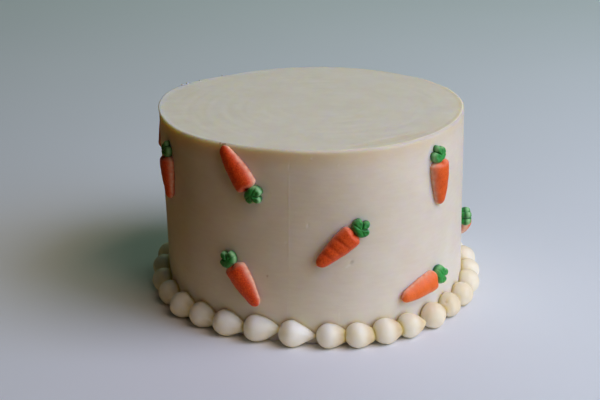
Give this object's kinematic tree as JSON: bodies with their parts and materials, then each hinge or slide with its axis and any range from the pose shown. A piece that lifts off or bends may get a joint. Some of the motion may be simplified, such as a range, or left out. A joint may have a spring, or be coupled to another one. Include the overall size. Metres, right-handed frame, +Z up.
{
  "type": "carrot cake",
  "caption": "Small round carrot cake in smooth cream icing, with a piped teardrop border round its foot and moulded sugar carrots on its side.",
  "frame": {"origin": "centre of the flat base that the cake stands on", "axes": "+Z up; the front of the cake faces -Y, and +X is to the right as it is looked at from the front"},
  "size_m": [0.1807, 0.1792, 0.1015],
  "materials": {
    "icing": "satin, smoothed with a spatula",
    "piped_icing": "satin, piped",
    "orange_sugar": "matt, finely grained",
    "green_sugar": "matt, finely grained"
  },
  "bodies": {
    "root": {"cake": "icing", "bead_01": "piped_icing", "bead_02": "piped_icing", "bead_03": "piped_icing", "bead_04": "piped_icing", "bead_05": "piped_icing", "bead_06": "piped_icing", "bead_07": "piped_icing", "bead_08": "piped_icing", "bead_09": "piped_icing", "bead_10": "piped_icing", "bead_11": "piped_icing", "bead_12": "piped_icing", "bead_13": "piped_icing", "bead_14": "piped_icing", "bead_15": "piped_icing", "bead_16": "piped_icing", "bead_17": "piped_icing", "bead_18": "piped_icing", "bead_19": "piped_icing", "bead_20": "piped_icing", "bead_21": "piped_icing", "bead_22": "piped_icing", "bead_23": "piped_icing", "bead_24": "piped_icing", "bead_25": "piped_icing", "bead_26": "piped_icing", "bead_27": "piped_icing", "bead_28": "piped_icing", "bead_29": "piped_icing", "bead_30": "piped_icing", "bead_31": "piped_icing", "carrot_01_root": "orange_sugar", "carrot_01_leaf": "green_sugar", "carrot_02_root": "orange_sugar", "carrot_02_leaf": "green_sugar", "carrot_03_root": "orange_sugar", "carrot_03_leaf": "green_sugar", "carrot_04_root": "orange_sugar", "carrot_04_leaf": "green_sugar", "carrot_05_root": "orange_sugar", "carrot_05_leaf": "green_sugar", "carrot_06_root": "orange_sugar", "carrot_06_leaf": "green_sugar", "carrot_07_root": "orange_sugar", "carrot_07_leaf": "green_sugar", "carrot_08_root": "orange_sugar", "carrot_08_leaf": "green_sugar", "carrot_09_root": "orange_sugar", "carrot_09_leaf": "green_sugar", "carrot_10_root": "orange_sugar", "carrot_10_leaf": "green_sugar", "carrot_11_root": "orange_sugar", "carrot_11_leaf": "green_sugar", "carrot_12_root": "orange_sugar", "carrot_12_leaf": "green_sugar", "carrot_13_root": "orange_sugar", "carrot_13_leaf": "green_sugar", "carrot_14_root": "orange_sugar", "carrot_14_leaf": "green_sugar"}
  },
  "joints": []
}
